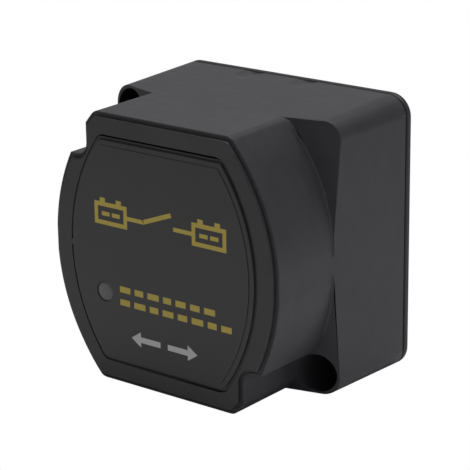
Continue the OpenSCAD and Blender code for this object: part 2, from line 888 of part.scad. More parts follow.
module insulating_sheet() {
  color([0.62, 0.50, 0.36]) difference() {
    slab(sheet_back_d, pole_back_d) {
      square([2 * sheet_half_w, 2 * yoke_out_z], center = true);
      square([2 * ear_half_w, 2 * ear_z], center = true);
    }
    bar(0, 0, sheet_back_d - over, pole_back_d + over, rod_r + stud_gap);
    for (side = [-1, 1])
      bar(0, side * yoke_screw_z, sheet_back_d - over, pole_back_d + over,
          yoke_screw_r + seat_gap);
  }
}

module yoke_screws()
  color(steel_colour) for (side = [-1, 1]) {
    bar(0, side * yoke_screw_z, pole_front_d, pole_front_d + yoke_screw_head_h, yoke_screw_head_r);
    bar(0, side * yoke_screw_z, pole_front_d - yoke_screw_len, pole_front_d, yoke_screw_r);
  }

module circuit_board() {
  slot_gap = 0.1;
  color([0.16, 0.36, 0.20]) slab(board_back_d, board_front_d) difference() {
    body_outline(wall + board_room_side);
    for (p = post_places) translate(p) circle(r = board_screw_r + seat_gap);
    for (side = [-1, 1]) {
      translate([side * pin_x, pin_z]) square(pin_side + slot_gap, center = true);
      translate([side * (strip_x - strip_t / 2), 0])
        square([strip_t + slot_gap, tab_w + slot_gap], center = true);
    }
  }
}

module board_screws()
  color(steel_colour) for (p = post_places) {
    bar(p[0], p[1], board_front_d, board_front_d + board_screw_head_h, board_screw_head_r);
    bar(p[0], p[1], board_front_d - board_screw_len, board_front_d, board_screw_r);
  }

module indicator_led() {
  color([0.92, 0.90, 0.80]) union() {
    slab(board_front_d, board_front_d + led_t) translate([lens_x, lens_z])
      square([led_l, led_w], center = true);
    bar(lens_x, lens_z, board_front_d, board_front_d + led_t + led_eye_t, led_eye_r);
  }
}

module control_chip() {
  span = chip_w + 2 * leg_l;
  color(dark_colour) union() {
    slab(board_front_d + leg_t, board_front_d + chip_t) translate([chip_x, chip_z])
      square([chip_l, chip_w], center = true);
    slab(board_front_d, board_front_d + 2 * leg_t)
      for (i = [0 : legs - 1])
        translate([chip_x + (i - (legs - 1) / 2) * leg_pitch, chip_z])
          square([leg_w, span], center = true);
  }
}

module filter_capacitor() {
  color([0.16, 0.18, 0.30]) union() {
    bar(cap_x, cap_z, board_back_d - cap_l, board_back_d, cap_r);
    bar(cap_x, cap_z, board_back_d - cap_l - cap_sleeve_t, board_back_d - cap_l, cap_r - cap_vent);
  }
}

module drive_transistor() {
  color(dark_colour) union() {
    slab(board_back_d - transistor_t, board_back_d) translate([transistor_x, transistor_z])
      square([transistor_w, transistor_h], center = true);
    slab(board_back_d - transistor_tab_t, board_back_d)
      translate([transistor_x, transistor_z + transistor_tab / 2])
        square([transistor_w - transistor_tab, transistor_h + transistor_tab], center = true);
  }
}

module flyback_diode() {
  axis_d = board_back_d - diode_lift - diode_r;
  bend = diode_l / 2 + diode_lead;
  color(dark_colour) union() {
    translate([diode_x, y_at(axis_d), case_h / 2 + diode_z - diode_l / 2])
      cylinder(h = diode_l, r = diode_r);
    translate([diode_x, y_at(axis_d), case_h / 2 + diode_z - bend])
      cylinder(h = 2 * bend, r = diode_lead_r);
    for (side = [-1, 1])
      bar(diode_x, diode_z + side * (bend - diode_lead_r), axis_d, board_back_d, diode_lead_r);
  }
}

module chip_resistors()
  color(dark_colour) slab(board_front_d, board_front_d + resistor_t)
    for (p = resistor_places) translate(p) square([resistor_l, resistor_w], center = true);

housing();
body_shell();
front_lid();
lid_seal();
label_plate();
label_film();
indicator_lens();
back_plate();
back_plate_screws();
terminal_stud_main();
terminal_stud_aux();
flat_washers();
spring_washers();
terminal_nuts();
earth_lead_grommet();
sense_strip_main();
sense_strip_aux();
fixed_contacts();
contact_bridge();
moving_contacts();
bridge_bush();
bridge_clip();
contact_spring();
spring_seat();
push_rod();
plunger();
return_spring();
fixed_core();
pole_plate();
yoke();
coil_bobbin();
coil_winding();
coil_pins();
insulating_sheet();
yoke_screws();
circuit_board();
board_screws();
indicator_led();
control_chip();
filter_capacitor();
drive_transistor();
flyback_diode();
chip_resistors();
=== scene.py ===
"""Looks of a battery isolator relay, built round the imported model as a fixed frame."""

from __future__ import annotations

import logging
import math
from dataclasses import dataclass, field
from enum import Enum
from typing import Callable, ClassVar, Iterable, Sequence

import bmesh
import bpy
from mathutils import Matrix, Vector
from mathutils.geometry import convex_hull_2d

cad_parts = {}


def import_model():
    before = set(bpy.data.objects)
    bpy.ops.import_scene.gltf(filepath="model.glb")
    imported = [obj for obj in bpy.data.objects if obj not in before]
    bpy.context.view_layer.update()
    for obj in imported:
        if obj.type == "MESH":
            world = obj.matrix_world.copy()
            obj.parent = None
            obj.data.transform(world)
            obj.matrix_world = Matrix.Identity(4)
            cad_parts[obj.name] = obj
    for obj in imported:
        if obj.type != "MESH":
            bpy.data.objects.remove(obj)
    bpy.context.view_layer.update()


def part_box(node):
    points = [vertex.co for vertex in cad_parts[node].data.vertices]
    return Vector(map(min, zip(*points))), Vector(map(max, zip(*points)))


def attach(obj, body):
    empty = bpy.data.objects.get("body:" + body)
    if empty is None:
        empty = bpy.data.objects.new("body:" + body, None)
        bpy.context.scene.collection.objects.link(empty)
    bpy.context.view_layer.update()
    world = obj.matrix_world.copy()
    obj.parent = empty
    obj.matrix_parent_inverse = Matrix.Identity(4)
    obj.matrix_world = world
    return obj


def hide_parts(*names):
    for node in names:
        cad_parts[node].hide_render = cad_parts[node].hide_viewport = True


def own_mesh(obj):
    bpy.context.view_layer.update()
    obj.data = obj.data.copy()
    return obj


LOG = logging.getLogger("relay")
MM = 0.001
NEAR = 0.02
Spot = tuple[float, float]
Triple = tuple[float, float, float]
Colour = Triple
Shape = bmesh.types.BMesh
Edge = bmesh.types.BMEdge
WHITE: Colour = (1.0, 1.0, 1.0)
UNSTRETCHED: Triple = (1.0, 1.0, 1.0)


class Body(Enum):
    """The bodies that new pieces ride on."""

    CASE = "case"
    PLUNGER = "plunger_assembly"


@dataclass(frozen=True)
class Layout:
    """Sizes of the part in millimetres, with depths counted forwards from its back."""

    width: float = 68.0
    depth: float = 52.0
    height: float = 68.0
    base_lean: float = 1.0 / 30.4
    base_front: float = 30.4
    base_back: float = 2.2
    rim: float = 50.55
    lid_front: float = 51.45
    lid_back: float = 49.55
    plate_front: float = 51.85

    def y(self, depth: float) -> float:
        """Place along Y, in metres, of a depth in millimetres."""
        return (self.depth / 2 - depth) * MM

    def z(self, height: float) -> float:
        """Place along Z, in metres, of a height above the middle of the face."""
        return (self.height / 2 + height) * MM

    def local(self, point: Vector) -> Triple:
        """Sideways place, depth and height about the face's middle, in millimetres."""
        x, y, z = (part / MM for part in point)
        return (x, self.depth / 2 - y, z - self.height / 2)


LAYOUT = Layout()


def math_node(kind: str, number_first: bool = False) -> Callable[..., Value]:
    """A method that adds one Math node over its value and another term, if any."""

    def method(self: Value, *others: Value | float) -> Value:
        """Returns the node's output."""
        terms = (*others, self) if number_first else (self, *others)
        return self.graph.out("ShaderNodeMath", *terms, settings={"operation": kind})

    return method


class Value:
    """A shader socket that takes part in sums and products."""

    def __init__(self, graph: Graph, socket: bpy.types.NodeSocket) -> None:
        """Wraps one output socket of a graph's node."""
        self.graph = graph
        self.socket = socket

    __add__ = math_node("ADD")
    __radd__ = math_node("ADD", number_first=True)
    __sub__ = math_node("SUBTRACT")
    __rsub__ = math_node("SUBTRACT", number_first=True)
    __mul__ = math_node("MULTIPLY")
    sine = math_node("SINE")
    above = math_node("GREATER_THAN")


class Graph:
    """The nodes of one material, or of the world."""

    def __init__(self, owner: bpy.types.Material | bpy.types.World) -> None:
        """Empties the owner's nodes."""
        owner.use_nodes = True
        self.owner = owner
        self.tree = owner.node_tree
        self.tree.nodes.clear()

    def node(self, kind: str, *terms: object, settings: dict[str, object] | None = None,
             **sockets: object) -> bpy.types.Node:
        """Adds a node and feeds its sockets, by place or by name_with_underscores."""
        made = self.tree.nodes.new(kind)
        for key, value in (settings or {}).items():
            setattr(made, key, value)
        for place, term in enumerate(terms):
            self._feed(made.inputs[place], term)
        for key, term in sockets.items():
            self._feed(made.inputs[key.replace("_", " ")], term)
        return made

    def out(self, kind: str, *terms: object, **sockets: object) -> Value:
        """Adds a node and returns its first output."""
        return Value(self, self.node(kind, *terms, **sockets).outputs[0])

    def pick(self, kind: str, name: str, *terms: object) -> Value:
        """Adds a node and returns the output of that name."""
        return Value(self, self.node(kind, *terms).outputs[name])

    def _feed(self, socket: bpy.types.NodeSocket, term: object) -> None:
        """Links a value to a socket, or writes a constant there."""
        if isinstance(term, Value):
            self.tree.links.new(term.socket, socket)
        elif isinstance(term, tuple) and socket.type == "RGBA":
            socket.default_value = (*term, 1.0)
        else:
            socket.default_value = term

    def place(self, stretch: Triple = UNSTRETCHED) -> Value:
        """Object coordinates, stretched along each axis."""
        spot = self.pick("ShaderNodeTexCoord", "Object")
        if stretch == UNSTRETCHED:
            return spot
        return self.out("ShaderNodeMapping", Vector=spot, Scale=stretch)

    def axis(self, name: str) -> Value:
        """One object coordinate, in metres."""
        return self.pick("ShaderNodeSeparateXYZ", name, self.place())

    def noise(self, size: float, detail: float, stretch: Triple = UNSTRETCHED) -> Value:
        """Noise from zero to one, with features of a size in millimetres."""
        return self.out("ShaderNodeTexNoise", Vector=self.place(stretch),
                        Scale=1.0 / (size * MM), Detail=detail, Roughness=0.55)

    def mixed(self, share: Value, low: Colour, high: Colour) -> Value:
        """A colour between two, by a share."""
        share_at, low_at, high_at, colour_at = 0, 6, 7, 2
        made = self.node("ShaderNodeMix", settings={"data_type": "RGBA"})
        for place, term in ((share_at, share), (low_at, low), (high_at, high)):
            self._feed(made.inputs[place], term)
        return Value(self, made.outputs[colour_at])

    def bump(self, height: Value, distance: float, under: Value | None = None) -> Value:
        """A bump of a height in millimetres, over another bump where one is given."""
        below = {} if under is None else {"Normal": under}
        return self.out("ShaderNodeBump", Height=height, Distance=distance * MM,
                        Strength=1.0, **below)

    def finish(self, **sockets: object) -> bpy.types.Material:
        """Ends the material in a principled shader with these sockets."""
        shader = self.out("ShaderNodeBsdfPrincipled", **sockets)
        self.node("ShaderNodeOutputMaterial", shader)
        return self.owner


@dataclass(frozen=True)
class Finish:
    """A finish, made into a material once."""

    name: str
    colour: Colour
    roughness: float = 0.5

    def material(self) -> bpy.types.Material:
        """The finish's material."""
        materials = bpy.data.materials
        return materials.get(self.name) or self.build(Graph(materials.new(self.name)))

    def build(self, graph: Graph) -> bpy.types.Material:
        """Builds the material's nodes."""
        raise NotImplementedError

    def shade(self, factor: float) -> Colour:
        """The finish's colour, darker or lighter."""
        return tuple(min(1.0, part * factor) for part in self.colour)

    def toned(self, share: Value, dark: float, light: float) -> Value:
        """The finish's colour, between a darker and a lighter shade by a share."""
        return share.graph.mixed(share, self.shade(dark), self.shade(light))

    def uneven(self, share: Value, spread: float, fine: Value | None = None,
               fine_spread: float = 0.0) -> Value:
        """The finish's roughness, spread about its value by one share or two."""
        rough = self.roughness + (share - 0.5) * spread
        return rough if fine is None else rough + (fine - 0.5) * fine_spread


@dataclass(frozen=True)
class MouldedPlastic(Finish):
    """Moulded plastic: a fine grain, slow waves, flow marks and rubbed spots."""

    grain: float = 0.32
    grain_height: float = 0.012
    wave_height: float = 0.03
    specular: float = 0.5

    def build(self, graph: Graph) -> bpy.types.Material:
        """Builds the material's nodes."""
        wave = graph.noise(size=16.0, detail=1.0)
        flow = graph.noise(size=5.0, detail=4.0, stretch=(0.4, 1.6, 0.9))
        rub = graph.noise(size=2.2, detail=5.0)
        grain = graph.noise(self.grain, detail=2.0)
        tone = self.toned(flow * 0.6 + rub * 0.4, dark=0.62, light=1.42)
        rough = self.uneven(rub, spread=0.16, fine=grain, fine_spread=0.10)
        under = graph.bump(wave, self.wave_height)
        return graph.finish(Base_Color=tone, Roughness=rough,
                            Normal=graph.bump(grain, self.grain_height, under),
                            Specular_IOR_Level=self.specular)


@dataclass(frozen=True)
class PrintedFilm(Finish):
    """The label's film: smoother than the case, with a faint grain and small scuffs."""

    def build(self, graph: Graph) -> bpy.types.Material:
        """Builds the material's nodes."""
        cloud = graph.noise(size=14.0, detail=2.0)
        scuff = graph.noise(size=0.9, detail=5.0, stretch=(1.0, 1.0, 0.25))
        grain = graph.noise(size=0.22, detail=2.0)
        tone = self.toned(cloud * 0.7 + scuff * 0.3, dark=0.88, light=1.12)
        under = graph.bump(cloud, distance=0.02)
        return graph.finish(Base_Color=tone, Roughness=self.uneven(scuff, spread=0.14),
                            Normal=graph.bump(grain, distance=0.004, under=under))


@dataclass(frozen=True)
class Mottled(Finish):
    """Ink or milky plastic, a little uneven in tone, sheen and height."""

    size: float = 0.5
    detail: float = 4.0
    shades: Spot = (0.86, 1.08)
    sheen: float = 0.2
    relief: float = 0.003
    milk: float = 0.0

    def build(self, graph: Graph) -> bpy.types.Material:
        """Builds the material's nodes."""
        cloud = graph.noise(self.size, self.detail)
        return graph.finish(Base_Color=self.toned(cloud, *self.shades),
                            Roughness=self.uneven(cloud, self.sheen),
                            Normal=graph.bump(cloud, self.relief),
                            Subsurface_Weight=self.milk, Subsurface_Scale=MM)


@dataclass(frozen=True)
class Metal(Finish):
    """Bare or plated metal with fine tool marks, stains and small dents."""

    stain: Colour = (0.8, 0.8, 0.8)

    def build(self, graph: Graph) -> bpy.types.Material:
        """Builds the material's nodes."""
        cloud = graph.noise(size=2.4, detail=4.0)
        marks = graph.noise(size=0.16, detail=3.0, stretch=(1.0, 1.0, 0.12))
        stained = tuple(part * tint for part, tint in zip(self.colour, self.stain))
        tone = graph.mixed(cloud, stained, self.shade(1.08))
        rough = self.uneven(cloud, spread=0.22, fine=marks, fine_spread=0.16)
        under = graph.bump(cloud, distance=0.012)
        return graph.finish(Base_Color=tone, Metallic=1.0, Roughness=rough,
                            Normal=graph.bump(marks, distance=0.006, under=under))


@dataclass(frozen=True)
class WoundWire(Finish):
    """Enamelled wire, with painted shading: one side of every turn lighter, the other
    darker.
    """

    pitch: float = 0.39

    def build(self, graph: Graph) -> bpy.types.Material:
        """Builds the material's nodes."""
        # painted shading: a sine band one wire pitch long, lighter and darker across
        # each turn
        turns = (graph.axis("Y") * (2 * math.pi / (self.pitch * MM))).sine()
        cloud = graph.noise(size=1.6, detail=4.0)
        tone = self.toned(turns * 0.25 + cloud * 0.75, dark=0.72, light=1.12)
        return graph.finish(Base_Color=tone, Metallic=0.75, Coat_Weight=0.6,
                            Roughness=self.uneven(cloud, spread=0.2),
                            Normal=graph.bump(cloud, distance=0.01))


@dataclass(frozen=True)
class SolderMask(Finish):
    """A board's lacquer over copper tracks, with a faint weave of the glass cloth."""

    track: Colour = (0.06, 0.25, 0.09)
    lane_rate: float = 2400.0
    lane_edge: float = 0.6
    weave_rate: float = 5200.0

    def build(self, graph: Graph) -> bpy.types.Material:
        """Builds the material's nodes."""
        upright = graph.noise(size=9.0, detail=0.0).above(0.5)
        waves = [(graph.axis(name) * self.lane_rate).sine() for name in "XZ"]
        across, along = (wave.above(self.lane_edge) for wave in waves)
        lanes = upright * across + (1.0 - upright) * along
        warp, weft = ((graph.axis(name) * self.weave_rate).sine() for name in "XZ")
        cloud = graph.noise(size=3.0, detail=3.0)
        tone = graph.mixed(lanes * 0.8 + cloud * 0.2, self.colour, self.track)
        under = graph.bump(warp * weft, distance=0.006)
        return graph.finish(Base_Color=tone, Roughness=self.uneven(cloud, spread=0.15),
                            Coat_Weight=0.4,
                            Normal=graph.bump(lanes, distance=0.03, under=under))


CASE_PLASTIC = MouldedPlastic("case plastic", (0.040, 0.039, 0.044), 0.48, specular=0.4)
LID_PLASTIC = MouldedPlastic("lid plastic", (0.034, 0.034, 0.036), 0.48, specular=0.45)
PLATE_PLASTIC = MouldedPlastic("label plate plastic", (0.028, 0.028, 0.030), 0.42)
BACK_PLASTIC = MouldedPlastic("back plate plastic", (0.030, 0.030, 0.033), 0.50)
FILM = PrintedFilm("label film", (0.028, 0.028, 0.029), 0.42)
YELLOW_INK = Mottled("yellow ink", (0.52, 0.41, 0.07), 0.55)
WHITE_INK = Mottled("white ink", (0.56, 0.56, 0.57), 0.55)
LENS = Mottled("lens plastic", (0.115, 0.115, 0.120), 0.34, size=1.1, detail=3.0,
               shades=(0.90, 1.10), sheen=0.1, relief=0.01, milk=0.2)
RUBBER = MouldedPlastic("soft rubber", (0.016, 0.016, 0.016), 0.75, grain=0.5)
SEAL_RUBBER = MouldedPlastic("seal rubber", (0.046, 0.046, 0.048), 0.62, grain=0.5)
NYLON = MouldedPlastic("natural nylon", (0.72, 0.69, 0.60), 0.50, wave_height=0.01)
BLACK_EPOXY = MouldedPlastic("moulding epoxy", (0.022, 0.022, 0.023), 0.60, grain=0.2)
FIBRE = MouldedPlastic("pressed fibre", (0.40, 0.28, 0.17), 0.80, grain=0.4,
                       grain_height=0.03)
SLEEVE = MouldedPlastic("printed sleeve", (0.030, 0.040, 0.110), 0.32,
                        grain_height=0.004)
LED_BODY = MouldedPlastic("pale moulding", (0.80, 0.76, 0.60), 0.40)
ZINC = Metal("zinc plated steel", (0.66, 0.67, 0.70), 0.32, stain=(0.86, 0.84, 0.76))
STEEL = Metal("plain steel", (0.52, 0.53, 0.55), 0.30)
SPRING_STEEL = Metal("spring steel", (0.42, 0.43, 0.46), 0.26)
BRASS = Metal("brass", (0.80, 0.60, 0.27), 0.26, stain=(0.82, 0.76, 0.62))
COPPER = Metal("copper", (0.80, 0.42, 0.26), 0.30, stain=(0.76, 0.66, 0.58))
SILVER = Metal("contact silver", (0.84, 0.83, 0.80), 0.34, stain=(0.72, 0.70, 0.66))
TIN = Metal("tinned copper", (0.70, 0.70, 0.70), 0.36)
ENAMEL = WoundWire("enamelled wire", (0.66, 0.26, 0.10), 0.32)
BOARD = SolderMask("board lacquer", (0.020, 0.110, 0.040), 0.34)


def as_mesh(made: Shape, name: str) -> bpy.types.Mesh:
    """Turns a bmesh, which is used up, into a mesh."""
    mesh = bpy.data.meshes.new(name)
    made.to_mesh(mesh)
    made.free()
    return mesh


def placed(name: str, data: bpy.types.ID) -> bpy.types.Object:
    """A new object in the scene."""
    thing = bpy.data.objects.new(name, data)
    bpy.context.scene.collection.objects.link(thing)
    return thing


def cleaned(made: Shape) -> Shape:
    """The same mesh with its doubles merged and its flat faces joined up."""
    near, flat = 2e-6, math.radians(0.4)
    bmesh.ops.remove_doubles(made, verts=made.verts, dist=near)
    bmesh.ops.dissolve_degenerate(made, edges=made.edges, dist=near)
    bmesh.ops.dissolve_limit(made, angle_limit=flat, verts=made.verts, edges=made.edges)
    return made


def outward(made: Shape) -> Shape:
    """The same mesh with its normals turned outward."""
    bmesh.ops.recalc_face_normals(made, faces=made.faces[:])
    return made


def merged_copy(node: str) -> Shape:
    """A clean copy of a CAD node's mesh."""
    made = bmesh.new()
    made.from_mesh(bpy.data.objects[node].data)
    return cleaned(made)


def along_depth(made: Shape, x: float = 0.0, z: float = 0.0) -> Shape:
    """Lays a shape built along +Z, in millimetres, so that heights become depths."""
    turn = Matrix.Rotation(math.radians(90.0), 4, "X") @ Matrix.Scale(MM, 4)
    place = Matrix.Translation((x * MM, LAYOUT.y(0.0), LAYOUT.z(z)))
    bmesh.ops.transform(made, matrix=place @ turn, verts=made.verts)
    return made


def is_sharp(edge: Edge, angle: float = 28.0) -> bool:
    """Whether an edge joins two faces at more than an angle in degrees."""
    return len(edge.link_faces) == 2 and edge.calc_face_angle(0.0) > math.radians(angle)


def depths(edge: Edge) -> Spot:
    """The least and the largest depth of an edge."""
    low, high = sorted(LAYOUT.local(vert.co)[1] for vert in edge.verts)
    return low, high


def edge_middle(edge: Edge) -> Triple:
    """Sideways place, depth and height of an edge's middle."""
    return LAYOUT.local((edge.verts[0].co + edge.verts[1].co) / 2)


def node_depths(node: str) -> Spot:
    """The depths, in millimetres, that a CAD node lies between."""
    low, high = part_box(node)
    return (LAYOUT.local(high)[1], LAYOUT.local(low)[1])


def spun(made: Shape, geometry: Sequence[object], steps: int,
         turns: float = 1.0, rise: float = 0.0, merge: bool = False) -> None:
    """Spins geometry round the Z axis in steps, rising on the way if that is asked."""
    bmesh.ops.spin(made, geom=geometry, cent=(0, 0, 0), axis=(0, 0, 1), steps=steps,
                   angle=2 * math.pi * turns, dvec=(0, 0, rise / steps),
                   use_merge=merge)


def lathe(profile: Sequence[Spot], steps: int = 48) -> Shape:
    """Spins a closed or axis-to-axis outline of (radius, height) into a solid."""
    near = 1e-5
    made = bmesh.new()
    verts = [made.verts.new((radius, 0.0, height)) for radius, height in profile]
    edges = [made.edges.new(pair) for pair in zip(verts, verts[1:])]
    if profile[0][0] > near:
        edges.append(made.edges.new((verts[-1], verts[0])))
    spun(made, verts + edges, steps, merge=True)
    bmesh.ops.remove_doubles(made, verts=made.verts, dist=near)
    return outward(made)


def slab(outline: Sequence[Spot], low: float, high: float) -> Shape:
    """A flat outline of (x, z) places, thickened between two depths."""
    made = bmesh.new()
    verts = [made.verts.new((x * MM, LAYOUT.y(low), LAYOUT.z(z))) for x, z in outline]
    face = made.faces.new(verts)
    grown = bmesh.ops.extrude_face_region(made, geom=[face])["geom"]
    moved = [item for item in grown if isinstance(item, bmesh.types.BMVert)]
    bmesh.ops.translate(made, verts=moved, vec=(0.0, (low - high) * MM, 0.0))
    return outward(made)


def skirting(source: Shape, margin: float, low: float, high: float) -> Shape:
    """A ring, as wide as a margin, round a shape's convex outline between depths."""
    flat = [Vector(LAYOUT.local(vert.co)).xz for vert in source.verts]
    inner = [flat[index] for index in convex_hull_2d(flat)]
    made = bmesh.new()
    rows = []
    for index, spot in enumerate(inner):
        along = (inner[(index + 1) % len(inner)] - inner[index - 1]).normalized()
        out = Vector((along.y, -along.x))
        outer = spot + (out if out.dot(spot) > 0 else -out) * margin
        rows.append([made.verts.new((x * MM, LAYOUT.y(depth), LAYOUT.z(z)))
                     for (x, z), depth in ((spot, low), (outer, low),
                                           (outer, high), (spot, high))])
    for row, after in zip(rows, rows[1:] + rows[:1]):
        for side in range(4):
            turned = (side + 1) % 4
            made.faces.new((row[side], row[turned], after[turned], after[side]))
    return outward(made)


def leaned(made: Shape) -> Shape:
    """Leans the curved body's top and bottom, so that they run on from the base."""
    flat, fade_from, fade_to = 32.61, 24.0, 31.0
    flat_half, seam_back, seam_front, seam_near = 22.95, 30.0, 31.5, 0.25
    for vert in made.verts:
        x, depth, height = LAYOUT.local(vert.co)
        weight = min(1.0, max(0.0, (abs(height) - fade_from) / (fade_to - fade_from)))
        on_body = depth > seam_back and (abs(x) < flat_half or depth > seam_front)
        if on_body and abs(height) < flat:
            rise = LAYOUT.height / 2 - LAYOUT.base_lean * depth - flat
            vert.co.z += math.copysign(rise * weight * MM, height)
    seam = [vert for vert in made.verts
            if seam_back < LAYOUT.local(vert.co)[1] < seam_front
            and abs(LAYOUT.local(vert.co)[2]) > flat]
    bmesh.ops.remove_doubles(made, verts=seam, dist=seam_near * MM)
    return cleaned(made)


def joined(parts: Iterable[Shape]) -> Shape:
    """Several shapes as one."""
    made = bmesh.new()
    for part in parts:
        mesh = as_mesh(part, "part")
        made.from_mesh(mesh)
        bpy.data.meshes.remove(mesh)
    return made


def combined(body: Shape, other: Shape, operation: str = "DIFFERENCE") -> Shape:
    """The body with another shape taken out of it, or joined to it."""
    things = [placed("operand", as_mesh(source, "operand")) for source in (body, other)]
    step = things[0].modifiers.new("combined", "BOOLEAN")
    step.operation = operation
    step.solver = "EXACT"
    step.object = things[1]
    made = bmesh.new()
    made.from_object(things[0], bpy.context.evaluated_depsgraph_get())
    for thing in things:
        mesh = thing.data
        bpy.data.objects.remove(thing)
        bpy.data.meshes.remove(mesh)
    return made


@dataclass
class Piece:
    """A new piece of the scene: its mesh, finish and place in the part."""

    name: str
    made: Shape
    finish: Finish
    slot: str
    body: Body = Body.CASE
    stands_for: tuple[str, ...] = ()
    smooth_below: float = 35.0
    rounding: Callable[[Edge], float] | None = None
    widest: float = 0.0

    def build(self) -> bpy.types.Object:
        if self.rounding is not None:
            self._weigh_edges()
        for face in self.made.faces:
            face.smooth = True
        for edge in self.made.edges:
            edge.smooth = not is_sharp(edge, self.smooth_below)
        mesh = as_mesh(self.made, self.name)
        mesh.materials.append(self.finish.material())
        thing = placed(self.name, mesh)
        if self.rounding is not None:
            self._round(thing)
        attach(thing, self.body.value)
        if self.stands_for:
            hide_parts(*self.stands_for)
        LOG.info("%s: %d faces, rides on %s", self.name, len(mesh.polygons),
                 self.body.value)
        return thing

    def _weigh_edges(self) -> None:
        """Writes how far each edge is to be rounded, as a share of the widest."""
        weights = self.made.edges.layers.float
        layer = weights.get("bevel_weight_edge") or weights.new("bevel_weight_edge")
        for edge in self.made.edges:
            edge[layer] = self.rounding(edge) / self.widest

    def _round(self, thing: bpy.types.Object) -> None:
        """Rounds the weighted edges."""
        bevel = thing.modifiers.new("rounded edges", "BEVEL")
        bevel.limit_method = "WEIGHT"
        bevel.width = self.widest * MM
        bevel.segments = 3
        bevel.profile = 0.5
        bevel.use_clamp_overlap = False
        bevel.miter_outer = "MITER_ARC"
        even = thing.modifiers.new("even shading", "WEIGHTED_NORMAL")
        even.keep_sharp = True
        even.weight = 100


Finishes = dict[Finish, tuple[str, ...]]


class Assembly:
    """A group of pieces, with the CAD nodes of that group that are kept as they are."""

    kept: ClassVar[Finishes] = {}

    def build(self) -> None:
        """Gives the kept nodes their finishes."""
        for finish, nodes in self.kept.items():
            for node in nodes:
                materials = bpy.data.objects[node].data.materials
                materials.clear()
                materials.append(finish.material())
                LOG.info("%s: CAD node with %s", node, finish.name)


@dataclass(frozen=True)
class Countersunk:
    """A countersunk screw with a cross recess."""

    head_r: float = 2.7
    head_h: float = 1.3
    dome: float = 0.12
    shank_r: float = 1.2
    length: float = 10.0
    point: float = 1.0
    recess_r: float = 1.45
    recess_w: float = 0.55
    recess_deep: float = 0.9
    recess_turn: float = 0.4
    recess_taper: float = 0.45

    def shape(self) -> Shape:
        """The screw along +Z, head first, in millimetres."""
        flat_share, flat_rise = 0.6, 0.02
        made = lathe([(0.0, 0.0), (self.head_r * flat_share, flat_rise),
                      (self.head_r, self.dome), (self.head_r, 2 * self.dome),
                      (self.shank_r, self.head_h),
                      (self.shank_r, self.length - self.point), (0.0, self.length)],
                     steps=32)
        for turn in (self.recess_turn, self.recess_turn + math.pi / 2):
            made = combined(made, self._recess(turn))
        return made

    def _recess(self, turn: float) -> Shape:
        """One arm of the recess: a bar that narrows with its depth."""
        arm = bmesh.new()
        size = (2 * self.recess_r, self.recess_w, 2 * self.recess_deep, 1.0)
        place = Matrix.Rotation(turn, 4, "Z") @ Matrix.Diagonal(size)
        bmesh.ops.create_cube(arm, size=1.0, matrix=place)
        bmesh.ops.scale(arm, vec=(self.recess_taper, self.recess_taper, 1.0),
                        verts=[vert for vert in arm.verts if vert.co.z > 0])
        return arm


@dataclass
class CaseShell(Assembly):
    """The moulded case, its back plate and that plate's screws."""

    rim_round: float = 0.16
    front_round: float = 0.25
    root_round: float = 0.35
    back_round: float = 0.3
    floor_end: float = 26.0
    seam_z: float = 32.3
    seam_x: float = 21.5
    bore_side: float = 19.0
    cover_round: float = 0.45
    cover_edge: float = 2.0
    cover_corner: float = 41.0
    window_round: float = 0.35
    window_sharp: float = 60.0
    window_half: float = 21.0
    corner_slack: float = 6.0
    outlet_x: Spot = (-10.1, 5.9)
    outlet_half: float = 3.7
    outlet_floor: float = 1.7
    outlet_end: float = 11.0
    outlet_share: float = 0.33
    screw: Countersunk = Countersunk()
    screw_at: float = 26.4

    def build(self) -> None:
        """Builds the pieces."""
        parts = merged_copy("housing"), merged_copy("body_shell")
        shell = cleaned(combined(*parts, "UNION"))
        self._soften_outlets(shell)
        Piece("case_shell", leaned(shell), CASE_PLASTIC, "case_plastic",
              stands_for=("housing", "body_shell"), rounding=self._shell_rounding,
              widest=self.root_round, smooth_below=20.0).build()
        Piece("rear_cover", merged_copy("back_plate"), BACK_PLASTIC,
              "plate_back_plastic", stands_for=("back_plate",),
              rounding=self._cover_rounding, widest=self.cover_round).build()
        screws = joined(along_depth(self.screw.shape(), place, place)
                        for place in (-self.screw_at, self.screw_at))
        Piece("cover_screws", screws, ZINC, "screw_steel",
              stands_for=("back_plate_screws",)).build()
        super().build()

    def _soften_outlets(self, shell: Shape) -> None:
        """Makes the two cable outlets in the top as shallow as they look."""
        for vert in shell.verts:
            x, depth, height = LAYOUT.local(vert.co)
            top = LAYOUT.height / 2 - LAYOUT.base_lean * depth
            sunk = top - height
            near = any(abs(x - middle) < self.outlet_half for middle in self.outlet_x)
            if near and depth < self.outlet_end and 0.0 < sunk < self.outlet_floor:
                vert.co.z = LAYOUT.z(top - sunk * self.outlet_share)

    def _shell_rounding(self, edge: Edge) -> float:
        """How far an edge of the case is rounded, in millimetres."""
        if not is_sharp(edge):
            return 0.0
        low, high = depths(edge)
        if low > LAYOUT.rim - NEAR:
            return self.rim_round
        x, depth, z = edge_middle(edge)
        reach = max(abs(x), abs(z))
        by_bore = x * z < 0 and min(abs(x), abs(z)) > self.bore_side
        in_floor = self.floor_end < depth < LAYOUT.base_front + NEAR and not by_bore
        if in_floor and (reach < self.seam_z or abs(x) > self.seam_x):
            return self.front_round if edge.is_convex else self.root_round
        outline = LAYOUT.width / 2 - LAYOUT.base_lean * low - NEAR
        at_back = all(abs(end - LAYOUT.base_back) < NEAR for end in (low, high))
        return self.back_round if at_back and reach > outline else 0.0

    def _cover_rounding(self, edge: Edge) -> float:
        """How far an edge of the back plate is rounded, in millimetres."""
        if not is_sharp(edge, self.window_sharp):
            return 0.0
        x, _, z = edge_middle(edge)
        reach = max(abs(x), abs(z))
        at_side = reach > LAYOUT.width / 2 - self.cover_edge
        if at_side or math.hypot(x, z) > self.cover_corner:
            return self.cover_round
        by_corner = abs(abs(x) - abs(z)) < self.corner_slack
        return 0.0 if by_corner and reach > self.window_half else self.window_round


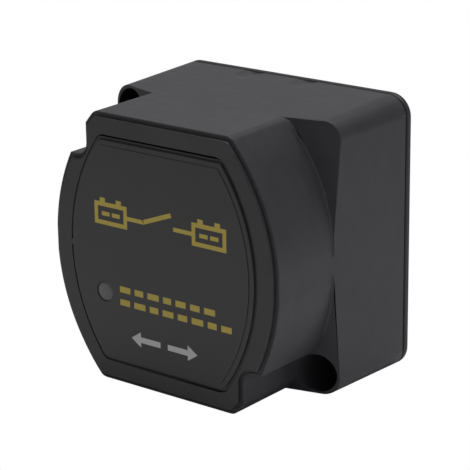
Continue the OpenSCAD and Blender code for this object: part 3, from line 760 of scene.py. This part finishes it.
@dataclass
class Mark:
    """One printed mark: outlines in one ink."""

    name: str
    ink: Finish
    outlines: list[list[Spot]] = field(default_factory=list)

    def bar(self, x0: float, x1: float, z0: float, z1: float) -> None:
        """Adds a bar between two corners."""
        self.outlines.append([(x0, z0), (x1, z0), (x1, z1), (x0, z1)])

    def frame(self, x0: float, x1: float, z0: float, z1: float, stroke: float) -> None:
        """Adds the outline of a box as four bars."""
        self.bar(x0, x1, z0, z0 + stroke)
        self.bar(x0, x1, z1 - stroke, z1)
        self.bar(x0, x0 + stroke, z0 + stroke, z1 - stroke)
        self.bar(x1 - stroke, x1, z0 + stroke, z1 - stroke)

    def arrow(self, tip: float, tail: float, middle: float, half: float,
              stroke: float) -> None:
        """Adds an arrow from a tail to a tip, drawn in one outline."""
        way, neck_share = 1 if tip > tail else -1, 1.5
        neck = tip - way * half * neck_share
        low, high = middle - stroke / 2, middle + stroke / 2
        outline = [(tail, low), (neck, low), (neck, middle - half), (tip, middle),
                   (neck, middle + half), (neck, high), (tail, high)]
        self.outlines.append(outline[::way])

    def build(self, thickness: float) -> None:
        """Builds the mark on the film's front."""
        outlines = (slab(outline, LAYOUT.depth, LAYOUT.depth + thickness)
                    for outline in self.outlines)
        Piece(self.name, joined(outlines), self.ink, "label_print").build()


@dataclass(frozen=True)
class LabelPrint:
    """Plain marks: two cells joined by an open switch, two rows of bars, two arrows."""

    thickness: float = 0.02
    stroke: float = 1.05
    cell_x: Spot = (9.6, 19.5)
    cell_z: Spot = (6.3, 11.8)
    post_x: Spot = (1.7, 3.3)
    post_h: float = 1.0
    sign_x: Spot = (2.2, 4.6)
    lead_z: Spot = (8.5, 9.5)
    lead_ends: Spot = (-4.6, 4.2)
    switch: tuple[Spot, ...] = ((-4.6, 8.5), (3.8, 11.7), (3.4, 12.7), (-5.0, 9.5))
    row_start: float = -12.4
    row_places: Spot = (-8.7, -11.9)
    row_lengths: tuple[tuple[float, ...], ...] = (
        (3.2, 2.6, 3.4, 2.4, 3.0, 2.8, 3.2), (3.0, 3.4, 2.6, 3.2, 2.8, 3.4, 2.6, 3.0))
    row_half: float = 0.75
    row_gap: float = 1.3
    arrows: tuple[Spot, ...] = ((-9.2, -0.4), (10.6, 1.8))
    arrow_z: float = -20.1
    arrow_half: float = 1.9
    arrow_stroke: float = 1.4

    def build(self) -> None:
        """Builds the marks."""
        for mark in (self._symbol(), self._legend(), self._flow()):
            mark.build(self.thickness)

    def _symbol(self) -> Mark:
        """The two cells and the switch between them."""
        mark = Mark("symbol_print", YELLOW_INK)
        top = self.cell_z[1]
        for side in (-1, 1):
            near_x, far_x = sorted(side * place for place in self.cell_x)
            mark.frame(near_x, far_x, *self.cell_z, self.stroke)
            for (start, end), low, high in ((self.post_x, top, top + self.post_h),
                                            (self.sign_x, *self.lead_z)):
                mark.bar(near_x + start, near_x + end, low, high)
                mark.bar(far_x - end, far_x - start, low, high)
        mark.bar(-self.cell_x[0], self.lead_ends[0], *self.lead_z)
        mark.bar(self.lead_ends[1], self.cell_x[0], *self.lead_z)
        mark.outlines.append(list(self.switch))
        return mark

    def _legend(self) -> Mark:
        """Two rows of bars in the place of lettering."""
        mark = Mark("legend_print", YELLOW_INK)
        for place, lengths in zip(self.row_places, self.row_lengths):
            start = self.row_start
            low, high = place - self.row_half, place + self.row_half
            for length in lengths:
                mark.bar(start, start + length, low, high)
                start += length + self.row_gap
        return mark

    def _flow(self) -> Mark:
        """The two arrows."""
        mark = Mark("flow_print", WHITE_INK)
        for tip, tail in self.arrows:
            mark.arrow(tip, tail, self.arrow_z, self.arrow_half, self.arrow_stroke)
        return mark


@dataclass
class FrontFace(Assembly):
    """The lid, its seal, the label plate with its film and print, and the lens."""

    kept: ClassVar[Finishes] = {FILM: ("label_film",), SEAL_RUBBER: ("lid_seal",)}

    lid_round: float = 0.28
    groove_round: float = 0.12
    groove_half_w: float = 27.6
    groove_half_h: float = 27.4
    groove_side_r: float = 44.7
    groove_slack: float = 0.1
    plate_round: float = 0.22
    skirt: float = 0.68
    skirt_depths: Spot = (50.27, 51.2)
    lip: float = 0.57
    lip_top: float = 50.40
    lens_x: float = -17.1
    lens_z: float = -10.3
    lens_r: float = 2.4
    lens_clear: float = 0.5
    lens_dome: float = 0.3
    lens_foot: float = 47.75
    flange_r: float = 3.2
    flange_h: float = 0.5

    def build(self) -> None:
        """Builds the pieces."""
        Piece("lid_shell", leaned(merged_copy("front_lid")), LID_PLASTIC, "lid_plastic",
              stands_for=("front_lid",), rounding=self._lid_rounding,
              widest=self.lid_round).build()
        plate = merged_copy("label_plate")
        skirt = skirting(plate, self.skirt, *self.skirt_depths)
        Piece("label_carrier", plate, PLATE_PLASTIC, "plate_plastic",
              stands_for=("label_plate",), rounding=self._plate_rounding,
              widest=self.plate_round).build()
        Piece("plate_skirt", skirt, LID_PLASTIC, "plate_plastic").build()
        Piece("indicator_window", self._lens(), LENS, "lens_plastic",
              stands_for=("indicator_lens",)).build()
        LabelPrint().build()
        Piece("rim_seal", self._seal_lip(), SEAL_RUBBER, "seal_rubber").build()
        super().build()

    def _seal_lip(self) -> Shape:
        """The seal's lip: a ring round the lid's side, in the gap to the rim."""
        upright, slack = 0.2, 0.1
        made = leaned(merged_copy("front_lid"))
        others = []
        for face in made.faces:
            reach = sorted(LAYOUT.local(vert.co)[1] for vert in face.verts)
            whole = (abs(reach[0] - LAYOUT.lid_back) < slack
                     and abs(reach[-1] - LAYOUT.lid_front) < slack)
            if not whole or abs(face.normal.y) >= upright:
                others.append(face)
        bmesh.ops.delete(made, geom=others, context="FACES")
        for vert in made.verts:
            if LAYOUT.local(vert.co)[1] > LAYOUT.lid_front - slack:
                vert.co.y = LAYOUT.y(self.lip_top)
        bmesh.ops.solidify(made, geom=made.faces[:], thickness=-self.lip * MM)
        return cleaned(outward(made))

    def _lid_rounding(self, edge: Edge) -> float:
        """How far an edge of the lid is rounded, in millimetres."""
        if not is_sharp(edge) or depths(edge)[0] < LAYOUT.lid_front - NEAR:
            return 0.0
        x, _, z = edge_middle(edge)
        rise = math.sqrt(max(self.groove_side_r ** 2 - z ** 2, 0.0))
        half_w = self.groove_half_w - self.groove_side_r + rise + self.groove_slack
        in_groove = abs(x) < half_w and abs(z) < self.groove_half_h + self.groove_slack
        return self.groove_round if in_groove else self.lid_round

    def _plate_rounding(self, edge: Edge) -> float:
        """How far an edge of the label plate is rounded, in millimetres."""
        x, _, z = edge_middle(edge)
        from_lens = math.hypot(x - self.lens_x, z - self.lens_z) - self.lens_r
        front = depths(edge)[0] > LAYOUT.plate_front - NEAR
        apart = front and from_lens >= self.lens_clear
        return self.plate_round if apart and is_sharp(edge) else 0.0

    def _lens(self) -> Shape:
        """The lens: a light pipe with a flange at its foot and a low dome in front."""
        foot, flange, rows = self.lens_foot, self.lens_foot + self.flange_h, 6
        outline = [(0.0, foot), (self.flange_r, foot), (self.flange_r, flange),
                   (self.lens_r, flange)]
        for row in range(rows):
            angle = math.pi / 2 * row / rows
            outline.append((self.lens_r * math.cos(angle),
                            LAYOUT.depth - self.lens_dome * (1.0 - math.sin(angle))))
        outline.append((0.0, LAYOUT.depth))
        return along_depth(lathe(outline), self.lens_x, self.lens_z)


@dataclass
class Terminals(Assembly):
    """The studs with their threads, nuts, washers and the grommet of the earth lead."""

    kept: ClassVar[Finishes] = {RUBBER: ("earth_lead_grommet",)}

    stud_x: float = 15.0
    stud_r: float = 4.0
    pitch: float = 1.25
    thread_deep: float = 0.68
    root_share: float = 0.12
    crest_shares: Spot = (0.5, 0.62)
    tip: float = 4.0
    partition: float = 18.0
    head_back: float = 20.6
    head_front: float = 22.6
    head_r: float = 7.5
    head_soft: float = 0.2
    head_chamfer: float = 0.3
    chamfer: float = 0.9
    washer_back: float = 16.6
    washer_r: float = 8.0
    washer_clear: float = 0.15
    washer_round: float = 0.2
    spring_back: float = 14.8
    spring_r: float = 6.6
    spring_hole_r: float = 4.1
    spring_rise: float = 0.4
    spring_soft: float = 0.18
    spring_turns: float = 344.0 / 360.0
    gap_lean: float = 40.0

    def build(self) -> None:
        """Builds the pieces."""
        for name, side in (("stud_main", -1), ("stud_aux", 1)):
            Piece(name + "_thread", self._stud(side), BRASS, name + "_brass",
                  stands_for=("terminal_" + name,)).build()
        Piece("hex_nuts", merged_copy("terminal_nuts"), ZINC, "nut_steel",
              stands_for=("terminal_nuts",), smooth_below=20.0).build()
        for name, shape, slot, node in (
                ("plain_washers", self._washer, "washer_steel", "flat_washers"),
                ("split_washers", self._split_washer, "spring_washer_steel",
                 "spring_washers")):
            Piece(name, joined(shape(side) for side in (-1, 1)), ZINC, slot,
                  stands_for=(node,)).build()
        super().build()

    def _stud(self, side: int) -> Shape:
        """One stud: a rolled thread, a plain shank and its head."""
        shank = lathe([(0.0, self.partition), (self.stud_r, self.partition),
                       (self.stud_r, self.head_back),
                       (self.head_r - self.head_soft, self.head_back),
                       (self.head_r, self.head_back + self.head_soft),
                       (self.head_r, self.head_front - self.head_chamfer),
                       (self.head_r - self.head_chamfer, self.head_front),
                       (0.0, self.head_front)], steps=64)
        return along_depth(joined((self._thread(), shank)), side * self.stud_x)

    def _thread(self) -> Shape:
        """The thread: a saw-edged line screwed round the axis, its ends cut square."""
        steps, near = 40, 1e-4
        height, high = self.tip - 2 * self.pitch, self.partition + 2 * self.pitch
        root = self.stud_r - self.thread_deep
        shape = [(0.0, root), (self.root_share, root)]
        shape += [(share, self.stud_r) for share in self.crest_shares]
        made = bmesh.new()
        verts = []
        while height < high:
            verts += [made.verts.new((radius, 0.0, height + share * self.pitch))
                      for share, radius in shape]
            height += self.pitch
        edges = [made.edges.new(pair) for pair in zip(verts, verts[1:])]
        spun(made, verts + edges, steps, rise=self.pitch)
        bmesh.ops.remove_doubles(made, verts=made.verts, dist=near)
        for height, way in ((self.tip, -1), (self.partition, 1)):
            bmesh.ops.bisect_plane(made, geom=[*made.verts, *made.edges, *made.faces],
                                   plane_co=(0, 0, height), plane_no=(0, 0, way),
                                   clear_outer=True)
        open_edges = [edge for edge in made.edges if edge.is_boundary]
        bmesh.ops.holes_fill(made, edges=open_edges, sides=0)
        for vert in made.verts:
            allowed = self.stud_r - self.chamfer + vert.co.z - self.tip
            radius = math.hypot(vert.co.x, vert.co.y)
            if radius > allowed > 0:
                vert.co.x *= allowed / radius
                vert.co.y *= allowed / radius
        return outward(made)

    def _washer(self, side: int) -> Shape:
        """One flat washer, with the rolled edge of a stamped one."""
        low, high, outer = self.washer_back, self.partition, self.washer_r
        edge, inner = self.washer_round, self.stud_r + self.washer_clear
        soft, burr = edge * 0.3, edge * 0.4
        made = lathe([(inner, low), (outer - edge, low), (outer - soft, low + soft),
                      (outer, low + edge), (outer, high - burr), (outer - burr, high),
                      (inner, high)], steps=64)
        return along_depth(made, side * self.stud_x)

    def _split_washer(self, side: int) -> Shape:
        """One spring washer: a square wire turned once, its ends apart."""
        low, high = self.spring_back, self.washer_back - self.spring_rise
        inner, outer, soft = self.spring_hole_r, self.spring_r, self.spring_soft
        made = bmesh.new()
        verts = [made.verts.new((radius, 0.0, height)) for radius, height in (
            (inner, low + soft), (inner + soft, low), (outer - soft, low),
            (outer, low + soft), (outer, high - soft), (outer - soft, high),
            (inner + soft, high), (inner, high - soft))]
        face = made.faces.new(verts)
        spun(made, [face, *face.edges, *verts], steps=44, turns=self.spring_turns,
             rise=self.spring_rise)
        outward(made)
        gap_at = math.radians(90.0 + side * self.gap_lean)
        turn = Matrix.Rotation(gap_at, 4, "Z")
        bmesh.ops.transform(made, matrix=turn, verts=made.verts)
        return along_depth(made, side * self.stud_x)


@dataclass(frozen=True)
class Coil:
    """A coil spring: its node, the radii and turns of its wire, and how it shortens."""

    node: str
    coil_r: float
    wire_r: float
    turns: float
    body: Body
    joint: str
    stroke: float
    front_held: bool

    def build(self) -> None:
        """Builds the spring."""
        low, high = node_depths(self.node)
        held = high if self.front_held else low
        thing = Piece(self.node + "_wire", self._shape(low, high), SPRING_STEEL,
                      self.node + "_steel", self.body, stands_for=(self.node,),
                      smooth_below=60.0).build()
        LAYOUT.y(held)
        LAYOUT.z(0.0)
        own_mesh(thing)

    def _shape(self, low: float, high: float) -> Shape:
        """The wire wound between two depths, in millimetres."""
        sides, turn_steps = 10, 36
        place = Matrix.Translation((self.coil_r, 0.0, low + self.wire_r))
        made = bmesh.new()
        bmesh.ops.create_circle(made, cap_ends=True, segments=sides, radius=self.wire_r,
                                matrix=place @ Matrix.Rotation(math.pi / 2, 4, "X"))
        spun(made, [*made.verts, *made.edges, *made.faces],
             round(self.turns * turn_steps), self.turns, high - low - 2 * self.wire_r)
        return along_depth(outward(made))


@dataclass
class Contactor(Assembly):
    """The contacts and the solenoid, hidden inside the case."""

    kept: ClassVar[Finishes] = {
        COPPER: ("sense_strip_main", "sense_strip_aux", "contact_bridge"),
        SILVER: ("fixed_contacts", "moving_contacts"),
        NYLON: ("bridge_bush", "coil_bobbin"),
        SPRING_STEEL: ("bridge_clip",),
        STEEL: ("spring_seat", "push_rod", "plunger", "fixed_core"),
        ZINC: ("pole_plate", "yoke", "yoke_screws"),
        TIN: ("coil_pins",),
        FIBRE: ("insulating_sheet",)}

    winding_r: float = 13.2
    winding_in_r: float = 7.0
    wire_dip: float = 0.16
    springs: tuple[Coil, ...] = (
        Coil("return_spring", coil_r=2.5, wire_r=0.3, turns=4.0, body=Body.CASE,
             joint="plunger_slide", stroke=2.3, front_held=False),
        Coil("contact_spring", coil_r=2.6, wire_r=0.2, turns=1.5, body=Body.PLUNGER,
             joint="bridge_float", stroke=0.52, front_held=True))

    def build(self) -> None:
        """Builds the pieces."""
        for spring in self.springs:
            spring.build()
        Piece("wound_coil", self._winding(), ENAMEL, "winding_copper",
              stands_for=("coil_winding",), smooth_below=60.0).build()
        super().build()

    def _winding(self) -> Shape:
        """The winding: a ring with one low ridge for each turn of wire."""
        low, high = node_depths("coil_winding")
        ridge = ((0.02, self.wire_dip), (0.25, 0.03), (0.5, 0.0), (0.75, 0.03))
        outline = [(self.winding_in_r, low)]
        for row in range(int((high - low) / ENAMEL.pitch)):
            outline += [(self.winding_r - dip, low + (row + share) * ENAMEL.pitch)
                        for share, dip in ridge]
        outline += [(self.winding_r - self.wire_dip, high), (self.winding_in_r, high)]
        return along_depth(lathe(outline, steps=96))


class ControlBoard(Assembly):
    """The board behind the lid and its parts."""

    kept: ClassVar[Finishes] = {
        BOARD: ("circuit_board",),
        ZINC: ("board_screws",),
        LED_BODY: ("indicator_led",),
        SLEEVE: ("filter_capacitor",),
        BLACK_EPOXY: ("control_chip", "drive_transistor", "flyback_diode",
                      "chip_resistors")}


@dataclass(frozen=True)
class Lamp:
    """One soft lamp: where it stands, how large and how strong it is."""

    name: str
    place: Triple
    size: float
    power: float
    colour: Colour = WHITE

    def build(self) -> None:
        """Adds the lamp, facing the part."""
        data = bpy.data.lights.new(self.name, "AREA")
        data.shape = "DISK"
        data.size = self.size
        data.energy = self.power
        data.color = self.colour
        place = Vector(self.place)
        aim = Vector((0.0, 0.0, LAYOUT.z(0.0))) - place
        turn = aim.to_track_quat("-Z", "Y").to_matrix().to_4x4()
        placed(self.name, data).matrix_world = Matrix.Translation(place) @ turn


@dataclass
class Studio:
    """The camera of the photograph, soft lamps, a pale floor and a white surround."""

    azimuth: float = 38.24
    elevation: float = 18.024
    roll: float = -0.74
    focal_px: float = 2022.215
    frame_px: float = 470.0
    sensor: float = 36.0
    clip_start: float = 0.01
    shift: Triple = (-1.0744, 0.0037, -481.698)
    aim_depth: float = 25.84
    floor_size: float = 3.0
    paper: Colour = (0.93, 0.93, 0.93)
    surround: float = 0.17
    lamps: tuple[Lamp, ...] = (
        Lamp("top lamp", (0.05, 0.10, 0.60), 0.50, 2.3, (1.0, 0.97, 0.97)),
        Lamp("back lamp", (-0.45, 0.60, 0.16), 0.60, 0.35),
        Lamp("right lamp", (0.62, 0.04, 0.20), 0.40, 0.27, (0.86, 0.80, 1.0)),
        Lamp("front lamp", (-0.12, -0.26, 0.40), 0.30, 0.17))

    def build(self) -> None:
        """Builds camera, lamps, floor and surround."""
        self._camera()
        for lamp in self.lamps:
            lamp.build()
        self._floor()
        self._world()

    def _camera(self) -> None:
        """Places the camera as the fit to the photograph gives it."""
        turn, tilt, lean = map(math.radians, (self.azimuth, self.elevation, self.roll))
        right = Vector((math.cos(turn), math.sin(turn), 0.0))
        ahead = Vector((math.sin(turn), -math.cos(turn), 0.0))
        back = ahead * math.cos(tilt) + Vector((0.0, 0.0, math.sin(tilt)))
        up = back.cross(right)
        rolled_right = right * math.cos(lean) + up * math.sin(lean)
        rolled_up = up * math.cos(lean) - right * math.sin(lean)
        basis = Matrix((rolled_right, rolled_up, back)).transposed()
        middle = Vector((0.0, LAYOUT.y(self.aim_depth), LAYOUT.z(0.0)))
        place = middle - basis @ (Vector(self.shift) * MM)
        data = bpy.data.cameras.new("camera")
        data.sensor_width = self.sensor
        data.lens = self.focal_px * self.sensor / self.frame_px
        data.clip_start = self.clip_start
        camera = placed("camera", data)
        camera.matrix_world = Matrix.Translation(place) @ basis.to_4x4()
        bpy.context.scene.camera = camera

    def _floor(self) -> None:
        """Adds the pale floor, which the camera sees as plain white."""
        made = bmesh.new()
        bmesh.ops.create_grid(made, x_segments=1, y_segments=1, size=self.floor_size)
        floor = placed("floor", as_mesh(made, "floor"))
        graph = Graph(bpy.data.materials.new("floor paper"))
        seen = graph.pick("ShaderNodeLightPath", "Is Camera Ray")
        plain = graph.out("ShaderNodeBsdfDiffuse", Color=self.paper)
        glow = graph.out("ShaderNodeEmission", Color=WHITE, Strength=1.0)
        mix = graph.out("ShaderNodeMixShader", seen, plain, glow)
        graph.node("ShaderNodeOutputMaterial", mix)
        floor.data.materials.append(graph.owner)

    def _world(self) -> None:
        """White where the camera sees it, and softer where it lights the part."""
        graph = Graph(bpy.data.worlds.new("surround"))
        seen = graph.pick("ShaderNodeLightPath", "Is Camera Ray")
        strength = graph.out("ShaderNodeMapRange", Value=seen, To_Min=self.surround,
                             To_Max=1.0)
        back = graph.out("ShaderNodeBackground", Color=WHITE, Strength=strength)
        graph.node("ShaderNodeOutputWorld", back)
        bpy.context.scene.world = graph.owner


def main() -> None:
    """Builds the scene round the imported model."""
    logging.basicConfig(level=logging.INFO, format="%(name)s: %(message)s")
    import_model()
    bpy.context.scene.view_settings.view_transform = "Standard"
    Studio().build()
    for group in (CaseShell(), FrontFace(), Terminals(), Contactor(), ControlBoard()):
        group.build()
    bpy.context.view_layer.update()


if __name__ == "__main__":
    main()
